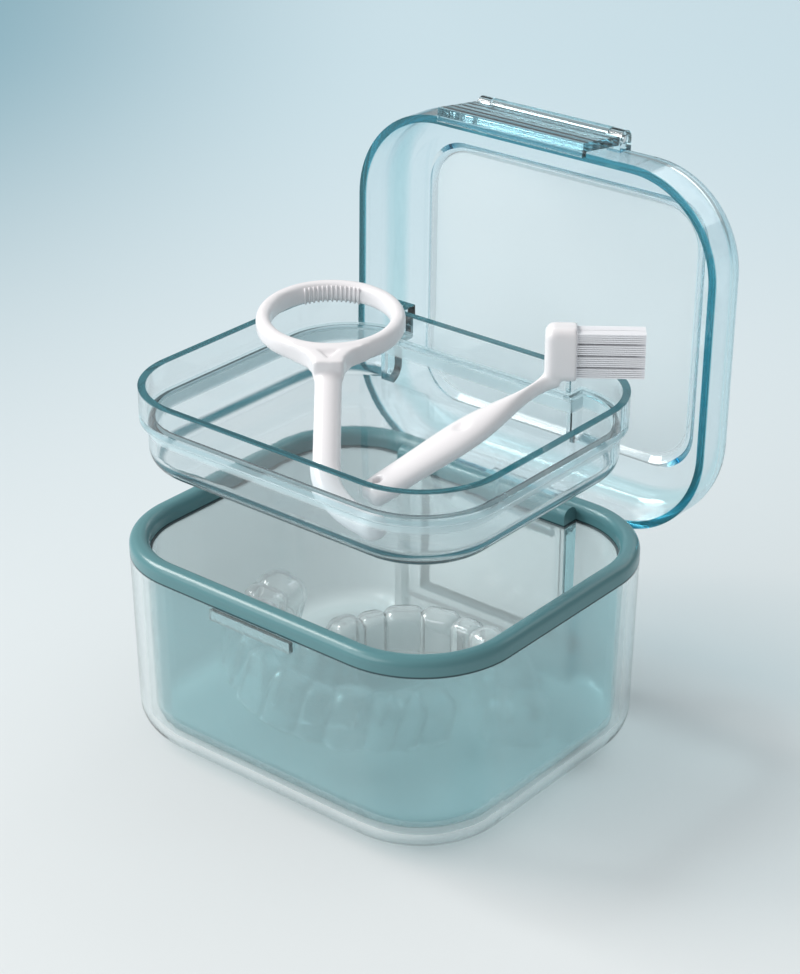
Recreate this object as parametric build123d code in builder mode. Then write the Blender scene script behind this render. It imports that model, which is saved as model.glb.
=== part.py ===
from build123d import *
import math
import os

# Case body, mm
case_width = 88.0
case_depth = 76.0
corner_radius = 20.5
shell_height = 39.4
shell_wall = 2.0
shell_draft = 1.0
foot_edge_radius = 7.0
notch_corner_gap = 2.0
notch_depth = 4.0
notch_floor = 11.0

# Liner with its thick rim
rim_width = 4.0
rim_height = 3.6
rim_round = 1.75
liner_wall = 1.2
liner_air_gap = 1.2
liner_floor = 1.4
liner_floor_gap = 1.0
liner_edge_radius = 5.0

# Catch bar on the front of the shell
catch_width = 20.0
catch_height = 2.1
catch_reach = 1.0
catch_drop = 0.1

# Tray
tray_body_gap = 0.4
tray_step = 1.6
tray_wall = 1.5
tray_floor = 1.5
tray_body_height = 9.4
tray_band_height = 7.0
tray_edge_radius = 4.0
tray_lift = 24.65

# Lid
lid_open_angle = 91.0
lid_gap = 0.3
lid_height = 12.1
lid_wall = 1.6
lid_edge_radius = 5.5
panel_raise = 1.2
panel_inset_side = 10.5
panel_inset_front = 9.5
panel_inset_back = 10.5
panel_radius = 9.0

# Lid hinge
hinge_inset = 1.0
hinge_drop = 3.0
barrel_radius = 2.1
pin_radius = 0.9
running_gap = 0.05
lid_knuckle_half = 8.5
knuckle_end_gap = 1.1
knuckle_gap = 0.3

# Clasp on the free edge of the lid
clasp_width = 35.0
clasp_thickness = 1.8
clasp_pivot_rise = 6.7
clasp_lug_width = 3.0
clasp_barrel = 1.9
clasp_pin_radius = 0.8
clasp_rest_angle = 7.0
clasp_lip_height = 1.3
clasp_gap = 0.3

# Hook tool
hook_heading = 39.56
hook_slope = 27.0
hook_bend = 21.5
ring_radius = 14.5
ring_band = 2.9
ring_height = 4.3
stem_width = 5.3
stem_thickness = 3.8
stem_length = 25.0
gusset_foot = 5.9
gusset_thickness = 4.0
gusset_lap = 1.5
hook_arc_radius = 15.0
hook_arc_angle = 65.0
hook_ball_radius = 2.8
hook_ball_side = 17.2
hook_ball_front = 4.4
tool_gap = 0.1

# Brush
brush_butt_side = 25.7
brush_butt_front = 12.5
brush_butt_radius = 2.6
brush_butt_rise = 2.52
brush_hole_radius = 0.9
handle_width = 8.2
handle_thickness = 4.6
neck_width = 4.6
neck_thickness = 4.0
dimple_radius = 3.2
dimple_depth = 0.6
brush_neck_side = 11.7
brush_neck_front = 48.2
brush_neck_rise = 17.15
head_length = 10.8
head_thickness = 6.0
head_width = 5.8
head_round = 1.8
head_border = 0.7
head_set_back = 2.9
head_rise = 5.6
bristle_heading = 37.2
bristle_length = 12.7
bristle_backing = 0.8
bristle_rows = 4
tufts_per_row = 2
strands_across = 5
strand_width = 0.26
strand_pitch = 0.4

# Dental aligners: tooth sizes from the front tooth to the first molar
tooth_widths = (8.5, 6.6, 7.6, 7.0, 6.8, 10.2)
tooth_depths = (6.4, 6.4, 7.8, 8.6, 9.0, 10.6)
tooth_heights = (11.5, 11.0, 11.5, 10.0, 9.5, 9.0)
tooth_overlap = 1.18
tooth_corner = 0.42
tooth_crown = 0.36
aligner_skin = 0.8
aligner_gap = 0.3

# Upper aligner, flat on the liner's floor, and lower aligner, leaning across it
upper_arch_half_width = 23.0
upper_arch_depth = 29.0
upper_arch_x = -5.4
upper_arch_y = 18.65
upper_arch_heading = 300.0
lower_arch_half_width = 21.0
lower_arch_depth = 27.0
lower_arch_x = -6.8
lower_arch_y = -25.6
lower_arch_rise = 8.5
lower_arch_heading = 89.5
lower_arch_tilt = 3.8
lower_arch_roll = 14.7

# Derived planes, heights and places
seam_z = shell_height
rim_top = seam_z + rim_height
hinge_y = case_depth / 2 - hinge_inset
hinge_z = seam_z - hinge_drop
notch_half = case_width / 2 - corner_radius - rim_width - notch_corner_gap
shell_knuckle_end = notch_half - knuckle_end_gap
liner_inset = shell_wall + liner_air_gap
cavity_inset = liner_inset + liner_wall
body_inset = cavity_inset + tray_body_gap
band_inset = body_inset - tray_step
liner_base = shell_wall + liner_floor_gap
cavity_floor = liner_base + liner_floor
tray_seat_z = rim_top + tray_lift
tray_base_z = tray_seat_z - tray_body_height
tray_floor_z = tray_base_z + tray_floor
tray_top_z = tray_seat_z + tray_band_height
tray_right = case_width / 2 - body_inset - tray_wall
tray_front = body_inset + tray_wall - case_depth / 2


def outline(inset):
    """Rounded outline of the case, drawn inset from its outer face."""
    RectangleRounded(case_width - 2 * inset, case_depth - 2 * inset, corner_radius - inset)


def notch_box(inset, low, high):
    """Block that stands in the hinge notch, grown by the inset of the wall around it."""
    half = notch_half + inset
    front = case_depth / 2 - notch_depth - inset
    back = case_depth
    with BuildPart() as block:
        with BuildSketch(Plane.XY.offset(low)):
            with Locations((0, (front + back) / 2)):
                Rectangle(2 * half, back - front)
        extrude(amount=high - low)
    return block.part


def tilted(origin, angle):
    """Plane turned back about X by an angle: its z is the normal of a lid opened that far."""
    turn = math.radians(angle)
    return Plane(origin=origin, x_dir=(1, 0, 0), z_dir=(0, math.sin(turn), math.cos(turn)))


def side_of(frame, x):
    """Plane square to X at a distance x, with the y and z of a turned frame as its axes."""
    return Plane(origin=frame.origin + Vector(x, 0, 0), x_dir=frame.y_dir, z_dir=(1, 0, 0))


def knuckle(frame, radius, low, high, web_y, web_z):
    """Barrel about a frame's X axis, with a rectangular web given by its y and z limits."""
    with BuildPart() as piece:
        with BuildSketch(side_of(frame, low)):
            Circle(radius)
            with Locations((sum(web_y) / 2, sum(web_z) / 2)):
                Rectangle(web_y[1] - web_y[0], web_z[1] - web_z[0])
        extrude(amount=high - low)
    return piece.part


def rod(frame, radius, half_length):
    """Round rod about a frame's X axis, half_length to each side."""
    with BuildPart() as piece:
        with BuildSketch(side_of(frame, 0)):
            Circle(radius)
        extrude(amount=half_length, both=True)
    return piece.part


def tub(top, bottom, inset, edge_radius, taper):
    """Solid tub on the case outline with a rounded foot and the hinge notch cut out."""
    notch = notch_box(inset, bottom - 1, top + 1)
    with BuildPart() as piece:
        with BuildSketch(Plane.XY.offset(top)):
            outline(inset)
        extrude(amount=bottom - top, taper=taper)
        fillet(piece.faces().sort_by(Axis.Z)[0].edges(), edge_radius)
        add(notch, mode=Mode.SUBTRACT)
    return piece.part


def save(piece, name):
    """Label a finished piece and write its file."""
    piece.label = name
    export_step(piece, f"parts/{name}.step")


os.makedirs("parts", exist_ok=True)

# Outer shell: clear tub with a hinge notch, two hinge knuckles and a catch bar
hinge_frame = Plane(origin=(0, hinge_y, hinge_z))
knuckle_low = lid_knuckle_half + knuckle_gap
notch_wall_y = case_depth / 2 - notch_depth - shell_wall / 2 - hinge_y
shell_web = ((notch_wall_y, 0), (-barrel_radius, barrel_radius))
shell_notch = notch_box(0, notch_floor, seam_z)
hollow_notch = notch_box(shell_wall, notch_floor - shell_wall, seam_z)
right_knuckle = knuckle(hinge_frame, barrel_radius, knuckle_low, shell_knuckle_end, *shell_web)
left_knuckle = knuckle(hinge_frame, barrel_radius, -shell_knuckle_end, -knuckle_low, *shell_web)
shell_bore = rod(hinge_frame, pin_radius + running_gap, shell_knuckle_end + 1)
catch_root = shell_wall / 2

with BuildPart() as shell_hollow:
    with BuildSketch(Plane.XY.offset(seam_z)):
        outline(shell_wall)
    extrude(amount=-(seam_z - shell_wall), taper=shell_draft)
    fillet(shell_hollow.faces().sort_by(Axis.Z)[0].edges(), foot_edge_radius - shell_wall)
    add(hollow_notch, mode=Mode.SUBTRACT)

with BuildPart() as outer_shell:
    with BuildSketch(Plane.XY.offset(seam_z)):
        outline(0)
    extrude(amount=-seam_z, taper=shell_draft)
    fillet(outer_shell.faces().sort_by(Axis.Z)[0].edges(), foot_edge_radius)
    add(shell_notch, mode=Mode.SUBTRACT)
    add(shell_hollow.part, mode=Mode.SUBTRACT)
    add([right_knuckle, left_knuckle])
    add(shell_bore, mode=Mode.SUBTRACT)
    with BuildSketch(Plane.XY.offset(seam_z - catch_drop)):
        with Locations((0, (catch_root - catch_reach - case_depth) / 2)):
            Rectangle(catch_width, catch_reach + catch_root)
    extrude(amount=-catch_height)
save(outer_shell.part, "outer_shell")

# Liner: inner cup whose thick rounded rim caps the shell
cup = tub(seam_z, liner_base, liner_inset, liner_edge_radius, shell_draft)
cavity_radius = liner_edge_radius - liner_floor
cavity = tub(seam_z, cavity_floor, cavity_inset, cavity_radius, shell_draft)
rim_notch = notch_box(0, seam_z, rim_top + 1)

with BuildPart() as rim_bar:
    with BuildSketch(Plane.XY.offset(seam_z)):
        with Locations((0, case_depth / 2 - notch_depth - rim_width / 2)):
            Rectangle(2 * (notch_half + rim_width), rim_width)
    extrude(amount=rim_height)
    fillet(rim_bar.faces().sort_by(Axis.Z)[-1].edges().filter_by(Axis.X), rim_round)

with BuildPart() as liner:
    with BuildSketch(Plane.XY.offset(seam_z)):
        outline(0)
        inner_width = case_width - 2 * rim_width
        inner_depth = case_depth - 2 * rim_width
        inner_corner = corner_radius - rim_width
        RectangleRounded(inner_width, inner_depth, inner_corner, mode=Mode.SUBTRACT)
    extrude(amount=rim_height)
    fillet(liner.faces().sort_by(Axis.Z)[-1].edges(), rim_round)
    add(rim_notch, mode=Mode.SUBTRACT)
    add(rim_bar.part)
    add(cup)
    add(cavity, mode=Mode.SUBTRACT)
save(liner.part, "liner")

# Tray: clear, hung in the liner by the step under its rim
hollow_low = tray_seat_z + tray_wall
tray_body = tub(hollow_low, tray_base_z, body_inset, tray_edge_radius, 0)
tray_hollow = tub(hollow_low, tray_floor_z, body_inset + tray_wall, tray_edge_radius - tray_floor, 0)
band_notch = notch_box(band_inset, tray_seat_z - 1, tray_top_z + 1)
band_hollow_notch = notch_box(band_inset + tray_wall, hollow_low - 1, tray_top_z + 1)

with BuildPart() as band_hollow:
    with BuildSketch(Plane.XY.offset(hollow_low)):
        outline(band_inset + tray_wall)
    extrude(amount=tray_top_z - hollow_low)
    add(band_hollow_notch, mode=Mode.SUBTRACT)

with BuildPart() as tray:
    with BuildSketch(Plane.XY.offset(tray_seat_z)):
        outline(band_inset)
    extrude(amount=tray_band_height)
    fillet(tray.faces().sort_by(Axis.Z)[0].edges(), tray_wall / 3)
    add(band_notch, mode=Mode.SUBTRACT)
    add(tray_body)
    add([tray_hollow, band_hollow.part], mode=Mode.SUBTRACT)
save(tray.part, "tray")

# Lid: drawn in the frame that turns with it, open at rest
lid_frame = tilted((0, hinge_y, hinge_z), lid_open_angle)
lid_normal = Axis((0, hinge_y, hinge_z), lid_frame.z_dir)
lid_base = rim_top + lid_gap - hinge_z
lid_top = lid_base + lid_height
panel_width = case_width - 2 * panel_inset_side
panel_depth = case_depth - panel_inset_front - panel_inset_back
panel_y = (panel_inset_front - panel_inset_back) / 2 - hinge_y
lid_back = case_depth / 2 - lid_wall - hinge_y
clasp_pivot_y = -case_depth / 2 - hinge_y - clasp_barrel - clasp_gap
clasp_pivot_z = lid_base + clasp_pivot_rise
clasp_pivot = lid_frame.from_local_coords(Vector(0, clasp_pivot_y, clasp_pivot_z))
clasp_seat = tilted(clasp_pivot, lid_open_angle)
clasp_half = clasp_width / 2
lug_low = clasp_half - clasp_lug_width
arm_web = ((lid_back, barrel_radius), (0, lid_base + lid_edge_radius / 2))
lug_web = ((0, clasp_barrel + clasp_gap + lid_wall / 2), (-clasp_barrel, clasp_barrel))
lid_arm = knuckle(lid_frame, barrel_radius, -lid_knuckle_half, lid_knuckle_half, *arm_web)
lid_bore = rod(lid_frame, pin_radius + running_gap, lid_knuckle_half + 1)
right_lug = knuckle(clasp_seat, clasp_barrel, lug_low, clasp_half, *lug_web)
left_lug = knuckle(clasp_seat, clasp_barrel, -clasp_half, -lug_low, *lug_web)
lug_bore = rod(clasp_seat, clasp_pin_radius + running_gap, clasp_half + 1)

with BuildPart() as lid_hollow:
    with BuildSketch(lid_frame.offset(lid_base)):
        with Locations((0, -hinge_y)):
            outline(lid_wall)
    extrude(amount=lid_height - lid_wall)
    fillet(lid_hollow.faces().sort_by(lid_normal)[-1].edges(), lid_edge_radius - lid_wall)
    with BuildSketch(lid_frame.offset(lid_top - lid_wall)):
        with Locations((0, panel_y)):
            RectangleRounded(panel_width, panel_depth, panel_radius)
    extrude(amount=panel_raise, taper=45)

with BuildPart() as lid:
    with BuildSketch(lid_frame.offset(lid_base)):
        with Locations((0, -hinge_y)):
            outline(0)
    extrude(amount=lid_height)
    fillet(lid.faces().sort_by(lid_normal)[-1].edges(), lid_edge_radius)
    with BuildSketch(lid_frame.offset(lid_top)):
        with Locations((0, panel_y)):
            RectangleRounded(panel_width + lid_wall, panel_depth + lid_wall, panel_radius)
    extrude(amount=panel_raise, taper=45)
    add(lid_hollow.part, mode=Mode.SUBTRACT)
    add([lid_arm, right_lug, left_lug])
    add([lid_bore, lug_bore], mode=Mode.SUBTRACT)
save(lid.part, "lid")

# Hinge pin and clasp pin
save(rod(hinge_frame, pin_radius, shell_knuckle_end - knuckle_gap), "hinge_pin")
save(rod(clasp_seat, clasp_pin_radius, clasp_half - clasp_gap), "clasp_pin")

# Clasp: plate that turns on its pin, with a lip that hooks under the catch bar
clasp_frame = tilted(clasp_pivot, lid_open_angle + clasp_rest_angle)
catch_under = seam_z - catch_drop - catch_height
lip_top = catch_under - clasp_gap - hinge_z - clasp_pivot_z
plate_top = -clasp_barrel - clasp_gap
plate_bottom = lip_top - clasp_lip_height
clasp_face = clasp_thickness / 2
neck_half = lug_low - clasp_gap
clasp_neck = knuckle(
    clasp_frame, clasp_barrel, -neck_half, neck_half, (-clasp_face, clasp_face), (plate_top * 2, 0)
)
clasp_bore = rod(clasp_frame, clasp_pin_radius + running_gap, clasp_half)

with BuildPart() as clasp:
    with BuildSketch(side_of(clasp_frame, -clasp_half)):
        with Locations((0, (plate_top + plate_bottom) / 2)):
            Rectangle(clasp_thickness, plate_top - plate_bottom)
        with Locations(((clasp_barrel - clasp_face) / 2, plate_bottom + clasp_lip_height / 2)):
            Rectangle(clasp_barrel + clasp_face, clasp_lip_height)
    extrude(amount=clasp_width)
    add(clasp_neck)
    add(clasp_bore, mode=Mode.SUBTRACT)
save(clasp.part, "clasp")

# Hook tool: ring, stem bent off the ring's plane, and a hook that ends in a ball
turn = math.radians(hook_heading)
across = Vector(math.cos(turn), math.sin(turn), 0)
away = Vector(-math.sin(turn), math.cos(turn), 0)


def rising(angle):
    """Unit vector that runs back along the tool and rises by an angle."""
    return away * math.cos(math.radians(angle)) + Vector(0, 0, math.sin(math.radians(angle)))


stem_up = rising(hook_slope)
ring_up = rising(hook_slope - hook_bend)
curl = math.radians(hook_arc_angle)
hook_ball_x = tray_right - hook_ball_side
hook_ball_y = tray_front + hook_ball_front
hook_ball = Vector(hook_ball_x, hook_ball_y, tray_floor_z + hook_ball_radius + tool_gap)
curl_side = across * (hook_arc_radius * (1 - math.cos(curl)))
curl_drop = stem_up * (hook_arc_radius * math.sin(curl))
stem_foot = hook_ball - curl_side + curl_drop
stem_head = stem_foot + stem_up * stem_length
ring_centre = stem_head + ring_up * ring_radius
stem_plane = Plane(origin=stem_foot, x_dir=across, z_dir=across.cross(stem_up))
ring_plane = Plane(origin=ring_centre, x_dir=across, z_dir=across.cross(ring_up))

with BuildPart() as ring:
    with BuildSketch(ring_plane):
        Circle(ring_radius)
        Circle(ring_radius - ring_band, mode=Mode.SUBTRACT)
    extrude(amount=ring_height / 2, both=True)
    fillet(ring.edges(), ring_band * 0.45)

with BuildPart() as gusset:
    with BuildSketch(ring_plane):
        with BuildLine():
            flare_x = ring_radius * 0.55
            flare_y = -math.sqrt(ring_radius**2 - flare_x**2)
            foot_x = gusset_foot / 2
            foot_y = -ring_radius - stem_width
            Spline((-flare_x, flare_y), (-foot_x, foot_y), tangents=((0.75, -0.66), (0, -1)))
            Line((-foot_x, foot_y), (foot_x, foot_y))
            Spline((foot_x, foot_y), (flare_x, flare_y), tangents=((0, 1), (0.75, 0.66)))
            RadiusArc((flare_x, flare_y), (-flare_x, flare_y), ring_radius)
        make_face()
    extrude(amount=gusset_thickness / 2, both=True)

with BuildPart() as hook_tool:
    with BuildLine(stem_plane) as stem_line:
        Line((0, stem_length - gusset_lap), (0, 0))
        JernArc((0, 0), (0, -1), hook_arc_radius, hook_arc_angle)
    with BuildSketch(Plane(origin=stem_line.line @ 0, x_dir=across, z_dir=-stem_up)):
        Ellipse(stem_width / 2, stem_thickness / 2)
    sweep(path=stem_line.line)
    with Locations(hook_ball):
        Sphere(hook_ball_radius)
    add([gusset.part, ring.part])
save(hook_tool.part, "hook_tool")

# Brush handle: oval bar with a hanging hole, rising to a box head
butt_x = tray_right - brush_butt_side
butt_y = tray_front + brush_butt_front
neck_x = tray_right - brush_neck_side
neck_y = tray_front + brush_neck_front
butt = Vector(butt_x, butt_y, tray_floor_z + brush_butt_rise)
neck = Vector(neck_x, neck_y, tray_floor_z + brush_neck_rise)
handle_run = neck - butt
handle_side = handle_run.cross(Vector(0, 0, 1)).normalized()
bristle_turn = math.radians(bristle_heading)
bristle_way = Vector(math.cos(bristle_turn), math.sin(bristle_turn), 0)
handle_level = Vector(handle_run.X, handle_run.Y, 0).normalized()
head_centre = neck + handle_level * head_set_back + Vector(0, 0, head_rise)
head_side = Vector(-bristle_way.Y, bristle_way.X, 0)
head_plane = Plane(origin=head_centre, x_dir=head_side, z_dir=bristle_way)
face_plane = head_plane.offset(head_thickness / 2)


def handle_section(share, width, thickness):
    """Oval section of the handle at a share of its length from the butt."""
    plane = Plane(origin=butt + handle_run * share, x_dir=handle_side, z_dir=handle_run)
    with BuildSketch(plane) as section:
        Ellipse(width / 2, thickness / 2)
    return section.sketch


handle_sections = [
    handle_section(0, brush_butt_radius * 2.4, brush_butt_radius * 1.62),
    handle_section(0.14, handle_width * 0.9, handle_thickness * 0.935),
    handle_section(0.4, handle_width, handle_thickness),
    handle_section(0.6, handle_width * 0.94, handle_thickness),
    handle_section(0.74, neck_width * 1.1, neck_thickness),
    handle_section(1.04, neck_width, neck_thickness),
]

with BuildPart() as head:
    with BuildSketch(head_plane):
        RectangleRounded(head_width, head_length, head_round)
    extrude(amount=head_thickness / 2, both=True)
    fillet(head.edges().group_by(Axis(head_centre, bristle_way))[0], head_round)
    with BuildSketch(face_plane):
        Rectangle(head_width - 2 * head_border, head_length - 2 * head_border)
    extrude(amount=-bristle_backing, mode=Mode.SUBTRACT)

with BuildPart() as brush_handle:
    loft(handle_sections)
    fillet(brush_handle.edges().group_by(Axis(butt, handle_run))[0], brush_butt_radius * 0.5)
    with BuildSketch(Plane(origin=butt + handle_run * 0.06, x_dir=handle_side)):
        Circle(brush_hole_radius)
    extrude(amount=handle_width, both=True, mode=Mode.SUBTRACT)
    dimple_rise = handle_thickness / 2 + dimple_radius - dimple_depth
    with Locations(butt + handle_run * 0.54 + handle_side.cross(handle_run).normalized() * dimple_rise):
        Sphere(dimple_radius, mode=Mode.SUBTRACT)
    add(head.part)
save(brush_handle.part, "brush_handle")

# Bristle rows: tufts of square strands standing on a thin slice of the head
slice_width = head_width - 2 * head_border
slice_height = (head_length - 2 * head_border) / bristle_rows
tuft_pitch = slice_width / tufts_per_row
for row_number in range(bristle_rows):
    level = (row_number - (bristle_rows - 1) / 2) * slice_height
    with BuildPart() as bristle_row:
        with BuildSketch(face_plane):
            with Locations((0, level)):
                Rectangle(slice_width, slice_height)
        extrude(amount=-bristle_backing)
        with BuildSketch(face_plane.offset(-bristle_backing / 2)):
            with Locations((0, level)):
                with GridLocations(tuft_pitch, 0, tufts_per_row, 1):
                    with GridLocations(strand_pitch, strand_pitch, strands_across, strands_across):
                        Rectangle(strand_width, strand_width)
        extrude(amount=bristle_length + bristle_backing / 2)
    save(bristle_row.part, f"bristle_row_{row_number + 1}")

# Aligners: thin clear caps over a row of teeth, standing on their open side
def tooth(frame, place, width, depth, height):
    """Upright block with rounded corners, set on a frame at a place along the arch."""
    with BuildPart() as block:
        with BuildSketch(frame):
            with Locations(place):
                RectangleRounded(width, depth, min(width, depth) * tooth_corner)
        extrude(amount=height)
        crown = block.faces().sort_by(Axis(frame.origin, frame.z_dir))[-1]
        fillet(crown.edges(), min(width, depth) * tooth_crown)
    return block.part


def aligner(frame, half_width, depth):
    """Caps along a half ellipse with its front tooth at the frame's origin, hollowed by the skin."""
    arch = EllipticalCenterArc((0, depth), half_width, depth, 180, arc_size=180)
    scale = arch.length / (2 * sum(tooth_widths))
    caps = []
    hollows = []
    reached = 0.0
    for width, thickness, height in zip(tooth_widths, tooth_depths, tooth_heights):
        middle = (reached + width / 2) * scale / arch.length
        reached += width
        for share in (0.5 - middle, 0.5 + middle):
            way = arch % share
            place = Location(arch @ share, (0, 0, math.degrees(math.atan2(way.Y, way.X))))
            pitch = width * scale
            inner = thickness - 2 * aligner_skin
            caps.append(tooth(frame, place, pitch * tooth_overlap, thickness, height))
            hollows.append(tooth(frame, place, pitch + aligner_skin / 3, inner, height - aligner_skin))
    with BuildPart() as piece:
        add(caps)
        add(hollows, mode=Mode.SUBTRACT)
    return piece.part


def arch_frame(x, y, base, heading):
    """Level frame at a front tooth: y runs back along the arch."""
    return Plane(origin=(x, y, base), x_dir=Vector(1, 0, 0).rotate(Axis.Z, heading - 90))


upper_base = cavity_floor + aligner_gap
upper_frame = arch_frame(upper_arch_x, upper_arch_y, upper_base, upper_arch_heading)
save(aligner(upper_frame, upper_arch_half_width, upper_arch_depth), "upper_aligner")

lower_base = cavity_floor + lower_arch_rise
lower_level = arch_frame(lower_arch_x, lower_arch_y, lower_base, lower_arch_heading)
lower_frame = lower_level.rotated((-lower_arch_tilt, 0, 0)).rotated((0, lower_arch_roll, 0))
save(aligner(lower_frame, lower_arch_half_width, lower_arch_depth), "lower_aligner")
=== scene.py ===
import bmesh
import bpy
import math
from mathutils import Matrix, Vector


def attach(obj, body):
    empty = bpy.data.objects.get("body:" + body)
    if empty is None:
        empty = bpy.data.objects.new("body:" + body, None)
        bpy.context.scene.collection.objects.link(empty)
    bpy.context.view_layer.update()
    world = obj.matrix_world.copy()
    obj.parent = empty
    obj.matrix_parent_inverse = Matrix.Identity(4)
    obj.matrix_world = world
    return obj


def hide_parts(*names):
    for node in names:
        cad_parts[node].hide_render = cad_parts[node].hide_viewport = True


# Lengths are in metres. A pair of numbers is where a change of finish starts and where it ends.

# Camera, which sees the case as the photograph does
camera_place = Vector((0.268229, -0.319804, 0.260911))
camera_target = Vector((-0.015138, 0.023220, 0.0394))
camera_lens = 108.83
camera_sensor = 36

# Seam where the liner's rim caps the shell, and the foot of the liner's cup
seam_z = 0.0394
cup_to_rim = (seam_z - 0.0006, seam_z + 0.0002)
seam_shadow = (seam_z + 0.0002, seam_z + 0.0005)
cup_foot = (0.0052, 0.0092)

# Change from the outer to the inner faces of the cup, and the share that facing up has in it. The
# inner faces, and more so the faces that look up, carry a painted light: paler and less
# see-through, as if lit through the open top.
cup_outer_to_lit_inner = (-0.004, 0.004)
painted_light_facing_up_weight = 0.04

# Catch bar on the front wall of the shell, under the rim
catch_z = 0.0383
catch_half_width = 0.0106
catch_half_height = 0.0014
catch_front = (-0.0382, -0.0379)
knurl_scale = 1800
knurl_depth = 0.0002

# Tray, lifted out of the case
tray_rim = (0.0743, 0.07455)
tray_ledge_bottom = (0.0655, 0.0660)
tray_ledge_top = (0.0680, 0.0685)
tray_foot = (0.0596, 0.0606)
tray_floor_half_width = 0.0368
tray_floor_half_depth = 0.0308

# Lid, standing open on its hinge
hinge_y = 0.037
hinge_z = 0.0364
lid_angle = math.radians(91)
lid_middle_z = 0.0741
panel_half_width = 0.0335
panel_half_height = 0.028
lid_flat_half_width = 0.0400
lid_flat_half_height = 0.0345
lid_rim = (0.0070, 0.0075)
lid_crown = (0.0135, 0.0165)

# Long grooves across the clasp
groove_pitch = 0.0026
groove_strength = 0.3
groove_depth = 0.0001

# Grip ridges on the far inner wall of the hook tool's ring
ring_centre = Vector((-0.01727, 0.00481, 0.08156))
ring_turn = math.radians(39.56)
ring_pitch = math.radians(5.5)
ridge_count = 13
ridge_step = math.radians(4.5)
ridge_radius = 0.00022
ridge_length = 0.0034
ridge_reach = 0.01155
ridge_sides = 10

# Triangular dimple where the ring forks from the stem, in the frame of the ring
dimple_far_y = -0.0146
dimple_tip_y = -0.0186
dimple_top_z = 0.0006
dimple_side_across = 0.87
dimple_side_along = 0.5
dimple_depth = 0.0007

# Blending of the inner corners of the two tools
hook_voxel = 0.00035
hook_rounds = 9
brush_voxel = 0.00030
brush_rounds = 5
smooth_factor = 0.5
merge_distance = 0.000001

# Refraction of the plastics, and the tint that they give to the light of the lamps
clear_index = 1.46
opaque_index = 1.5
plain_lamp_tint = (0.88, 0.91, 0.915)
cup_lamp_tint = (0.87, 0.90, 0.905)
no_light = (0.0, 0.0, 0.0)

# Colours of the moulded edges of the clear pieces
catch_bar_color = (0.66, 0.82, 0.84)
tray_rim_color = (0.02, 0.13, 0.16)
tray_foot_color = (0.02, 0.14, 0.18)
tray_ledge_color = (0.72, 0.84, 0.87)
lid_rim_color = (0.06, 0.42, 0.52)
lid_crown_color = (0.76, 0.93, 0.95)

# Colours of the liner; the colour of the cup's inner faces is a painted light, paler as if lit
# through the open top
liner_rim_color = (0.105, 0.245, 0.265)
seam_shadow_color = (0.02, 0.05, 0.06)
cup_foot_color = (0.26, 0.50, 0.54)
cup_outer_color = (0.48, 0.74, 0.78)
cup_inner_painted_light_color = (0.93, 0.975, 0.975)

# Colours of the opaque pieces
tool_color = (0.86, 0.83, 0.845)
bristle_color = (0.98, 0.97, 1.0)
steel_color = (0.72, 0.73, 0.74)

# Roughness of the walls that are frosted or change along the piece, and how far they let light by
lid_roughness = 0.04
panel_roughness = 0.3
panel_see_through = 0.58
cup_roughness = 0.10
liner_rim_roughness = 0.24
cup_outer_see_through = 0.92
# Inner faces of the cup let less light by, so that their painted light shows
cup_inner_painted_light_see_through = 0.68

# Floor under the case, and the directions across it away from the camera and to its right
floor_half_side = 6
floor_long_part = 0.77
floor_short_part = 0.636
floor_near_to_far = (-0.12, 0.5)
floor_left_to_right = (-0.2, 0.02)
floor_near_color = (0.72, 0.75, 0.76)
floor_far_left_color = (0.18, 0.33, 0.40)
floor_far_right_color = (0.52, 0.65, 0.71)

# Light of the studio all round
studio_color = (0.88, 0.92, 0.94)
studio_strength = 0.42

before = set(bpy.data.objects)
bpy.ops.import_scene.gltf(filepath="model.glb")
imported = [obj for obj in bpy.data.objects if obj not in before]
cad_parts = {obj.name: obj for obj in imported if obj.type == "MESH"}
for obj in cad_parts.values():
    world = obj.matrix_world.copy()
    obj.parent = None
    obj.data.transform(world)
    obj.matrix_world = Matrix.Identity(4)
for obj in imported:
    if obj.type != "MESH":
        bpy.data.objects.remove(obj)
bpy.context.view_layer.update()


def new_material(name):
    """Empty material with a principled shader wired to the output."""
    material = bpy.data.materials.new(name)
    material.use_nodes = True
    tree = material.node_tree
    tree.nodes.clear()
    output = tree.nodes.new("ShaderNodeOutputMaterial")
    shader = tree.nodes.new("ShaderNodeBsdfPrincipled")
    tree.links.new(shader.outputs["BSDF"], output.inputs["Surface"])
    return material, tree, shader


def output_of(tree):
    """Output node of a material."""
    return next(node for node in tree.nodes if node.type == "OUTPUT_MATERIAL")


def object_coordinates(tree):
    """Object coordinates, whole and split in x, y and z."""
    coordinates = tree.nodes.new("ShaderNodeTexCoord")
    split = tree.nodes.new("ShaderNodeSeparateXYZ")
    tree.links.new(coordinates.outputs["Object"], split.inputs["Vector"])
    return coordinates.outputs["Object"], split.outputs


def surface_direction(tree):
    """Direction in which the surface faces, split in x, y and z."""
    coordinates = tree.nodes.new("ShaderNodeTexCoord")
    split = tree.nodes.new("ShaderNodeSeparateXYZ")
    tree.links.new(coordinates.outputs["Normal"], split.inputs["Vector"])
    return split.outputs


def ramp(tree, value, low, high, start, end):
    """Maps a value smoothly from the range low to high onto start to end."""
    node = tree.nodes.new("ShaderNodeMapRange")
    node.interpolation_type = "SMOOTHSTEP"
    node.inputs["From Min"].default_value = low
    node.inputs["From Max"].default_value = high
    node.inputs["To Min"].default_value = start
    node.inputs["To Max"].default_value = end
    tree.links.new(value, node.inputs["Value"])
    return node.outputs["Result"]


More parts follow.
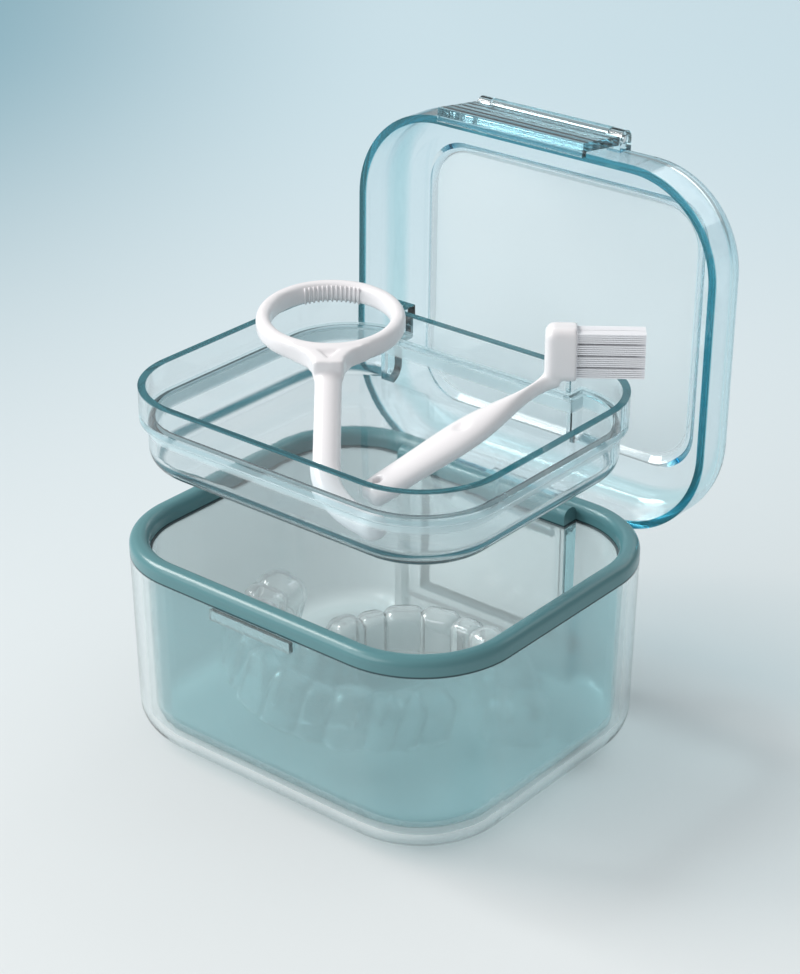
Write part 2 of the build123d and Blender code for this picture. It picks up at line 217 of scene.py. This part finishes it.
def blend_colors(tree, share, first, second):
    """Mixes two colours, each given as a value or as a socket."""
    node = tree.nodes.new("ShaderNodeMix")
    node.data_type = "RGBA"
    tree.links.new(share, node.inputs["Factor"])
    for socket, color in ((node.inputs["A"], first), (node.inputs["B"], second)):
        if isinstance(color, tuple):
            socket.default_value = (*color, 1)
        else:
            tree.links.new(color, socket)
    return node.outputs["Result"]


def edge_share(tree, blend=0.35):
    """Share that rises where the surface turns away from the eye."""
    node = tree.nodes.new("ShaderNodeLayerWeight")
    node.inputs["Blend"].default_value = blend
    return node.outputs["Facing"]


def math_step(tree, operation, first, second=0.0):
    """One arithmetic step on a socket and a number or a second socket."""
    node = tree.nodes.new("ShaderNodeMath")
    node.operation = operation
    for socket, value in zip(node.inputs, (first, second)):
        if isinstance(value, (int, float)):
            socket.default_value = value
        else:
            tree.links.new(value, socket)
    return node.outputs["Value"]


def product(tree, first, second):
    """Product of two values."""
    return math_step(tree, "MULTIPLY", first, second)


def rest_of(tree, share):
    """What a share leaves over."""
    return math_step(tree, "SUBTRACT", 1.0, share)


def inside_window(tree, *spans, squareness=6.0, fade=(0.85, 1.1)):
    """Share that is 1 inside a rounded window and 0 outside it.

    A span is a coordinate, the middle of the window along it and half the window's width.
    """
    total = 0.0
    for value, middle, half in spans:
        offset = math_step(tree, "ABSOLUTE", math_step(tree, "SUBTRACT", value, middle))
        reach = math_step(tree, "POWER", math_step(tree, "DIVIDE", offset, half), squareness)
        total = math_step(tree, "ADD", reach, total)
    return ramp(tree, total, *fade, 1, 0)


def add_bump(tree, shader, height, strength, distance, under=None):
    """Bump from a height, laid over another bump where one is given."""
    bump = tree.nodes.new("ShaderNodeBump")
    bump.inputs["Distance"].default_value = distance
    if isinstance(strength, float):
        bump.inputs["Strength"].default_value = strength
    else:
        tree.links.new(strength, bump.inputs["Strength"])
    if under is not None:
        tree.links.new(under, bump.inputs["Normal"])
    tree.links.new(height, bump.inputs["Height"])
    tree.links.new(bump.outputs["Normal"], shader.inputs["Normal"])
    return bump.outputs["Normal"]


def fine_grain(tree, coordinates, shader, scale, strength, distance=0.00005, detail=3):
    """Light bump that breaks up the reflections."""
    noise = tree.nodes.new("ShaderNodeTexNoise")
    noise.inputs["Scale"].default_value = scale
    noise.inputs["Detail"].default_value = detail
    tree.links.new(coordinates, noise.inputs["Vector"])
    return add_bump(tree, shader, noise.outputs["Fac"], strength, distance)


def let_lamps_through(tree, shader, tint):
    """Light of the lamps and the floor passes the plastic, tinted, and lights what is behind."""
    path = tree.nodes.new("ShaderNodeLightPath")
    open_way = tree.nodes.new("ShaderNodeBsdfTransparent")
    surface = shader.outputs["BSDF"]
    for kind in ("Is Diffuse Ray", "Is Shadow Ray"):
        mix = tree.nodes.new("ShaderNodeMixShader")
        tree.links.new(path.outputs[kind], mix.inputs["Fac"])
        tree.links.new(surface, mix.inputs[1])
        tree.links.new(open_way.outputs["BSDF"], mix.inputs[2])
        surface = mix.outputs["Shader"]
    tree.links.new(surface, output_of(tree).inputs["Surface"])
    if isinstance(tint, tuple):
        open_way.inputs["Color"].default_value = (*tint, 1)
    else:
        tree.links.new(tint, open_way.inputs["Color"])


def clear_plastic(
    name,
    face,
    edge,
    roughness,
    depth_color,
    density,
    edge_from=0.35,
    lamp_tint=plain_lamp_tint,
    see_through=1.0,
):
    """See-through plastic, tinted by its thickness and more where it is seen edge on."""
    material, tree, shader = new_material(name)
    color = blend_colors(tree, ramp(tree, edge_share(tree), edge_from, 1.0, 0, 1), face, edge)
    tree.links.new(color, shader.inputs["Base Color"])
    shader.inputs["Roughness"].default_value = roughness
    shader.inputs["IOR"].default_value = clear_index
    shader.inputs["Transmission Weight"].default_value = see_through
    depth = tree.nodes.new("ShaderNodeVolumeAbsorption")
    depth.inputs["Color"].default_value = (*depth_color, 1)
    depth.inputs["Density"].default_value = density
    tree.links.new(depth.outputs["Volume"], output_of(tree).inputs["Volume"])
    let_lamps_through(tree, shader, lamp_tint)
    return material, tree, shader


def clear_grain(tree, shader):
    """Faint waviness of a moulded clear wall."""
    return fine_grain(tree, object_coordinates(tree)[0], shader, scale=260, strength=0.15)


def deepen(tree, shader, share, color, see_through):
    """Deeper colour along a moulded edge, where the plastic is seen through its length."""
    base = shader.inputs["Base Color"].links[0].from_socket
    tree.links.new(blend_colors(tree, share, base, color), shader.inputs["Base Color"])
    weight = shader.inputs["Transmission Weight"]
    if weight.is_linked:
        kept = weight.links[0].from_socket
        lower = math_step(tree, "SUBTRACT", kept, see_through)
        tree.links.new(math_step(tree, "SUBTRACT", kept, product(tree, share, lower)), weight)
    else:
        tree.links.new(ramp(tree, share, 0, 1, weight.default_value, see_through), weight)


def glossy_plastic(name, color, roughness):
    """Opaque moulded plastic with a soft shine."""
    material, tree, shader = new_material(name)
    shader.inputs["Base Color"].default_value = (*color, 1)
    shader.inputs["Roughness"].default_value = roughness
    shader.inputs["IOR"].default_value = opaque_index
    fine_grain(tree, object_coordinates(tree)[0], shader, scale=180, strength=0.1)
    return material


# Shell, with a knurled face on its catch bar
shell_clear, shell_tree, shell_shader = clear_plastic(
    "shell_clear",
    face=(0.97, 0.99, 0.99),
    edge=(0.62, 0.74, 0.76),
    roughness=0.05,
    depth_color=(0.55, 0.75, 0.77),
    density=22,
    lamp_tint=(0.92, 0.935, 0.937),
)
shell_grain = clear_grain(shell_tree, shell_shader)
shell_place, shell_xyz = object_coordinates(shell_tree)
catch_bar = product(
    shell_tree,
    inside_window(
        shell_tree,
        (shell_xyz["X"], 0.0, catch_half_width),
        (shell_xyz["Z"], catch_z, catch_half_height),
    ),
    ramp(shell_tree, shell_xyz["Y"], *catch_front, 1, 0),
)
deepen(shell_tree, shell_shader, catch_bar, catch_bar_color, see_through=0.78)
knurl = shell_tree.nodes.new("ShaderNodeTexVoronoi")
knurl.inputs["Scale"].default_value = knurl_scale
shell_tree.links.new(shell_place, knurl.inputs["Vector"])
add_bump(
    shell_tree, shell_shader, knurl.outputs["Distance"], catch_bar, knurl_depth, shell_grain
)

# Tray, with dark lines along its rim and its foot and a pale ledge between them
tray_clear, tray_tree, tray_shader = clear_plastic(
    "tray_clear",
    face=(0.97, 0.98, 0.985),
    edge=(0.30, 0.48, 0.52),
    roughness=0.03,
    depth_color=(0.10, 0.48, 0.56),
    density=45,
    edge_from=0.6,
    lamp_tint=(0.92, 0.96, 0.97),
)
clear_grain(tray_tree, tray_shader)
tray_xyz = object_coordinates(tray_tree)[1]
rim_line = ramp(tray_tree, tray_xyz["Z"], *tray_rim, 0, 1)
deepen(tray_tree, tray_shader, rim_line, tray_rim_color, see_through=0.42)
tray_floor = inside_window(
    tray_tree,
    (tray_xyz["X"], 0.0, tray_floor_half_width),
    (tray_xyz["Y"], 0.0, tray_floor_half_depth),
)
foot_line = product(
    tray_tree,
    ramp(tray_tree, tray_xyz["Z"], *tray_foot, 1, 0),
    rest_of(tray_tree, tray_floor),
)
deepen(tray_tree, tray_shader, foot_line, tray_foot_color, see_through=0.6)
ledge_line = product(
    tray_tree,
    ramp(tray_tree, tray_xyz["Z"], *tray_ledge_bottom, 0, 1),
    ramp(tray_tree, tray_xyz["Z"], *tray_ledge_top, 1, 0),
)
deepen(tray_tree, tray_shader, ledge_line, tray_ledge_color, see_through=0.55)

# Lid, with a frosted panel, a deep line along its rim and a pale band round its crown
lid_clear, lid_tree, lid_shader = clear_plastic(
    "lid_clear",
    face=(0.98, 0.99, 0.995),
    edge=(0.16, 0.62, 0.75),
    roughness=lid_roughness,
    depth_color=(0.03, 0.60, 0.76),
    density=55,
    edge_from=0.5,
)
clear_grain(lid_tree, lid_shader)
lid_xyz = object_coordinates(lid_tree)[1]
panel = inside_window(
    lid_tree,
    (lid_xyz["X"], 0.0, panel_half_width),
    (lid_xyz["Z"], lid_middle_z, panel_half_height),
)
lid_roughening = ramp(lid_tree, panel, 0, 1, lid_roughness, panel_roughness)
lid_see_through = ramp(lid_tree, panel, 0, 1, 1.0, panel_see_through)
lid_tree.links.new(lid_roughening, lid_shader.inputs["Roughness"])
lid_tree.links.new(lid_see_through, lid_shader.inputs["Transmission Weight"])
# Height of a point of the lid over its hinge when the lid is shut
behind_hinge = math_step(lid_tree, "SUBTRACT", lid_xyz["Y"], hinge_y)
above_hinge = math_step(lid_tree, "SUBTRACT", lid_xyz["Z"], hinge_z)
lid_rise = math_step(
    lid_tree,
    "ADD",
    product(lid_tree, behind_hinge, math.sin(lid_angle)),
    product(lid_tree, above_hinge, math.cos(lid_angle)),
)
lid_rim_line = ramp(lid_tree, lid_rise, *lid_rim, 1, 0)
deepen(lid_tree, lid_shader, lid_rim_line, lid_rim_color, see_through=0.75)
lid_flat = inside_window(
    lid_tree,
    (lid_xyz["X"], 0.0, lid_flat_half_width),
    (lid_xyz["Z"], lid_middle_z, lid_flat_half_height),
)
crown_band = product(
    lid_tree, ramp(lid_tree, lid_rise, *lid_crown, 0, 1), rest_of(lid_tree, lid_flat)
)
deepen(lid_tree, lid_shader, crown_band, lid_crown_color, see_through=0.95)

# Clasp, with long grooves across it
clasp_teal, clasp_tree, clasp_shader = clear_plastic(
    "clasp_teal",
    face=(0.85, 0.95, 0.97),
    edge=(0.45, 0.74, 0.80),
    roughness=0.08,
    depth_color=(0.1, 0.65, 0.78),
    density=45,
)
clasp_y = object_coordinates(clasp_tree)[1]["Y"]
groove = math_step(
    clasp_tree, "SINE", product(clasp_tree, clasp_y, 2 * math.pi / groove_pitch)
)
add_bump(clasp_tree, clasp_shader, groove, groove_strength, groove_depth)

# Aligners
aligner_clear, aligner_tree, aligner_shader = clear_plastic(
    "aligner_clear",
    face=(0.98, 1.0, 1.0),
    edge=(0.88, 0.95, 0.96),
    roughness=0.08,
    depth_color=(0.7, 0.9, 0.9),
    density=10,
    lamp_tint=(0.95, 0.97, 0.97),
    see_through=0.86,
)
clear_grain(aligner_tree, aligner_shader)

# White tools and their bristles
tool_white = glossy_plastic("tool_white", tool_color, roughness=0.2)
bristle_white = glossy_plastic("bristle_white", bristle_color, roughness=0.4)

# Pins of the hinge and the clasp
pin_steel, _, steel_shader = new_material("pin_steel")
steel_shader.inputs["Base Color"].default_value = (*steel_color, 1)
steel_shader.inputs["Metallic"].default_value = 1.0
steel_shader.inputs["Roughness"].default_value = 0.25

# Liner: glossy teal rim above the seam, frosted cup below it, with painted light on the cup's
# inner faces
liner_teal, liner_tree, liner_shader = new_material("liner_teal")
liner_place, liner_xyz = object_coordinates(liner_tree)
facing_xyz = surface_direction(liner_tree)
rim_share = ramp(liner_tree, liner_xyz["Z"], *cup_to_rim, 0, 1)
rim_color = blend_colors(
    liner_tree,
    ramp(liner_tree, liner_xyz["Z"], *seam_shadow, 0, 1),
    seam_shadow_color,
    liner_rim_color,
)
# Above zero on the inner faces of the cup and below zero on its outer faces; it masks the painted
# light on the inside of the cup
outward = math_step(
    liner_tree,
    "ADD",
    product(liner_tree, liner_xyz["X"], facing_xyz["X"]),
    product(liner_tree, liner_xyz["Y"], facing_xyz["Y"]),
)
painted_light_inward = math_step(
    liner_tree,
    "ADD",
    product(liner_tree, facing_xyz["Z"], painted_light_facing_up_weight),
    product(liner_tree, outward, -1.0),
)
cup_outside = blend_colors(
    liner_tree,
    ramp(liner_tree, liner_xyz["Z"], *cup_foot, 0, 1),
    cup_foot_color,
    cup_outer_color,
)
# Cup colour with a painted light: inner faces paler than outer ones, as if lit through the open
# top
cup_color = blend_colors(
    liner_tree,
    ramp(liner_tree, painted_light_inward, *cup_outer_to_lit_inner, 0, 1),
    cup_outside,
    cup_inner_painted_light_color,
)
liner_color = blend_colors(liner_tree, rim_share, cup_color, rim_color)
liner_roughness = ramp(liner_tree, liner_xyz["Z"], *cup_to_rim, cup_roughness, liner_rim_roughness)
# Less see-through on the inner faces of the cup, part of their painted light
liner_see_through = product(
    liner_tree,
    ramp(liner_tree, liner_xyz["Z"], *cup_to_rim, 1.0, 0.0),
    ramp(
        liner_tree, painted_light_inward, *cup_outer_to_lit_inner, cup_outer_see_through, cup_inner_painted_light_see_through
    ),
)
liner_tree.links.new(liner_color, liner_shader.inputs["Base Color"])
liner_tree.links.new(liner_roughness, liner_shader.inputs["Roughness"])
liner_tree.links.new(liner_see_through, liner_shader.inputs["Transmission Weight"])
liner_shader.inputs["IOR"].default_value = clear_index
liner_tint = blend_colors(liner_tree, rim_share, cup_lamp_tint, no_light)
let_lamps_through(liner_tree, liner_shader, liner_tint)
fine_grain(liner_tree, liner_place, liner_shader, scale=900, strength=0.25)

finishes = {
    "outer_shell": shell_clear,
    "liner": liner_teal,
    "hinge_pin": pin_steel,
    "lid": lid_clear,
    "clasp_pin": pin_steel,
    "clasp": clasp_teal,
    "tray": tray_clear,
    "hook_tool": tool_white,
    "brush_handle": tool_white,
    "bristle_row_1": bristle_white,
    "bristle_row_2": bristle_white,
    "bristle_row_3": bristle_white,
    "bristle_row_4": bristle_white,
    "upper_aligner": aligner_clear,
    "lower_aligner": aligner_clear,
}
for node_name, finish in finishes.items():
    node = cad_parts[node_name]
    node.data.materials.clear()
    node.data.materials.append(finish)

# Frame of the ring: across it, away toward its far side and up through it
across = Vector((math.cos(ring_turn), math.sin(ring_turn), 0))
away = Vector((-math.sin(ring_turn), math.cos(ring_turn), 0))
ring_up = away * math.cos(ring_pitch) + Vector((0, 0, math.sin(ring_pitch)))
ring_frame = Matrix((across, ring_up, across.cross(ring_up))).transposed().to_4x4()
ring_frame.translation = ring_centre


def ring_ridges():
    """Grip ridges that stand side by side on the far inner wall of the ring."""
    grip = bmesh.new()
    for number in range(ridge_count):
        angle = math.radians(90) + (number - ridge_count // 2) * ridge_step
        ridge = bmesh.ops.create_cone(
            grip,
            cap_ends=True,
            segments=ridge_sides,
            radius1=ridge_radius,
            radius2=ridge_radius,
            depth=ridge_length,
        )
        reach = (ridge_reach * math.cos(angle), ridge_reach * math.sin(angle), 0)
        place = ring_frame @ Matrix.Translation(reach)
        bmesh.ops.transform(grip, matrix=place, verts=ridge["verts"])
    mesh = bpy.data.meshes.new("ring_grip_ridges")
    grip.to_mesh(mesh)
    grip.free()
    mesh.shade_smooth()
    mesh.materials.append(tool_white)
    ridges = bpy.data.objects.new("ring_grip_ridges", mesh)
    bpy.context.scene.collection.objects.link(ridges)
    return ridges


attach(ring_ridges(), "hook")


def skin_over(node_name, name, voxel):
    """Closed mesh of small even faces over a tool."""
    merged_mesh = bpy.data.meshes.new(name + "_rough")
    merged = bmesh.new()
    merged.from_mesh(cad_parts[node_name].data)
    bmesh.ops.remove_doubles(merged, verts=merged.verts, dist=merge_distance)
    merged.to_mesh(merged_mesh)
    merged.free()
    rough = bpy.data.objects.new(name + "_rough", merged_mesh)
    bpy.context.scene.collection.objects.link(rough)
    skin = rough.modifiers.new("skin", "REMESH")
    skin.mode = "VOXEL"
    skin.voxel_size = voxel
    skin.adaptivity = 0
    bpy.context.view_layer.update()
    skinned = rough.evaluated_get(bpy.context.evaluated_depsgraph_get())
    mesh = bpy.data.meshes.new_from_object(skinned)
    mesh.name = name
    bpy.data.objects.remove(rough)
    bpy.data.meshes.remove(merged_mesh)
    return mesh


def softened(node_name, name, body, voxel, rounds, dimple=None):
    """Moulded copy of a tool, with its inner corners blended and its edges softened."""
    mesh = skin_over(node_name, name, voxel)
    smooth = bmesh.new()
    smooth.from_mesh(mesh)
    for _ in range(rounds):
        bmesh.ops.smooth_vert(
            smooth,
            verts=smooth.verts,
            factor=smooth_factor,
            use_axis_x=True,
            use_axis_y=True,
            use_axis_z=True,
        )
    if dimple:
        dimple(smooth)
    bmesh.ops.recalc_face_normals(smooth, faces=smooth.faces)
    smooth.to_mesh(mesh)
    smooth.free()
    mesh.shade_smooth()
    mesh.materials.clear()
    mesh.materials.append(tool_white)
    piece = bpy.data.objects.new(name, mesh)
    bpy.context.scene.collection.objects.link(piece)
    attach(piece, body)
    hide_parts(node_name)


def fork_dimple(smooth):
    """Triangular dimple where the ring forks from the stem."""
    to_ring = ring_frame.inverted()
    for vert in smooth.verts:
        place = to_ring @ vert.co
        past_far_side = place.y - dimple_far_y
        past_tip = place.y - dimple_tip_y
        past_sides = abs(place.x) * dimple_side_across - past_tip * dimple_side_along
        under_top = dimple_top_z - place.z
        beyond = max(past_far_side, past_sides, under_top)
        depth = dimple_depth * min(max(-beyond / dimple_depth, 0), 1)
        vert.co -= ring_frame.to_3x3() @ Vector((0, 0, depth))


softened("hook_tool", "hook_moulded", "hook", hook_voxel, hook_rounds, fork_dimple)
softened("brush_handle", "brush_moulded", "brush", brush_voxel, brush_rounds)

# Floor, pale near the case and bluer far behind it
floor_mesh = bpy.data.meshes.new("floor")
floor_grid = bmesh.new()
bmesh.ops.create_grid(floor_grid, x_segments=1, y_segments=1, size=floor_half_side)
floor_grid.to_mesh(floor_mesh)
floor_grid.free()
floor = bpy.data.objects.new("floor", floor_mesh)
bpy.context.scene.collection.objects.link(floor)
floor_material, floor_tree, floor_shader = new_material("floor")
floor_xyz = object_coordinates(floor_tree)[1]
floor_depth = math_step(
    floor_tree,
    "SUBTRACT",
    product(floor_tree, floor_xyz["Y"], floor_long_part),
    product(floor_tree, floor_xyz["X"], floor_short_part),
)
floor_side = math_step(
    floor_tree,
    "ADD",
    product(floor_tree, floor_xyz["X"], floor_long_part),
    product(floor_tree, floor_xyz["Y"], floor_short_part),
)
far_color = blend_colors(
    floor_tree,
    ramp(floor_tree, floor_side, *floor_left_to_right, 0, 1),
    floor_far_left_color,
    floor_far_right_color,
)
floor_color = blend_colors(
    floor_tree,
    ramp(floor_tree, floor_depth, *floor_near_to_far, 0, 1),
    floor_near_color,
    far_color,
)
floor_tree.links.new(floor_color, floor_shader.inputs["Base Color"])
floor_shader.inputs["Roughness"].default_value = 0.7
floor.data.materials.append(floor_material)

# World, lamps and camera
world = bpy.data.worlds.new("studio")
world.use_nodes = True
world.node_tree.nodes["Background"].inputs["Color"].default_value = (*studio_color, 1)
world.node_tree.nodes["Background"].inputs["Strength"].default_value = studio_strength
bpy.context.scene.world = world


def area_lamp(name, place, target, size, power, color=(1, 1, 1)):
    """Soft rectangular lamp that faces a point."""
    lamp = bpy.data.lights.new(name, "AREA")
    lamp.shape = "RECTANGLE"
    lamp.size, lamp.size_y = size
    lamp.energy = power
    lamp.color = color
    holder = bpy.data.objects.new(name, lamp)
    holder.location = place
    holder.rotation_euler = (Vector(target) - Vector(place)).to_track_quat("-Z", "Y").to_euler()
    bpy.context.scene.collection.objects.link(holder)


area_lamp("key", (-1.45, -0.45, 1.5), (0, 0, 0.05), (0.9, 0.9), 34, (1.0, 0.985, 0.96))
area_lamp("fill", (-0.45, -1.0, 0.7), (0, 0, 0.06), (1.0, 0.8), 7)
area_lamp("back", (0.1, 0.9, 0.6), (0, 0, 0.08), (0.9, 0.5), 2)

camera = bpy.data.cameras.new("camera")
camera.lens = camera_lens
camera.sensor_width = camera_sensor
camera.sensor_fit = "HORIZONTAL"
viewer = bpy.data.objects.new("camera", camera)
viewer.location = camera_place
viewer.rotation_euler = (camera_target - camera_place).to_track_quat("-Z", "Y").to_euler()
bpy.context.scene.collection.objects.link(viewer)
bpy.context.scene.camera = viewer
bpy.context.scene.view_settings.view_transform = "Standard"
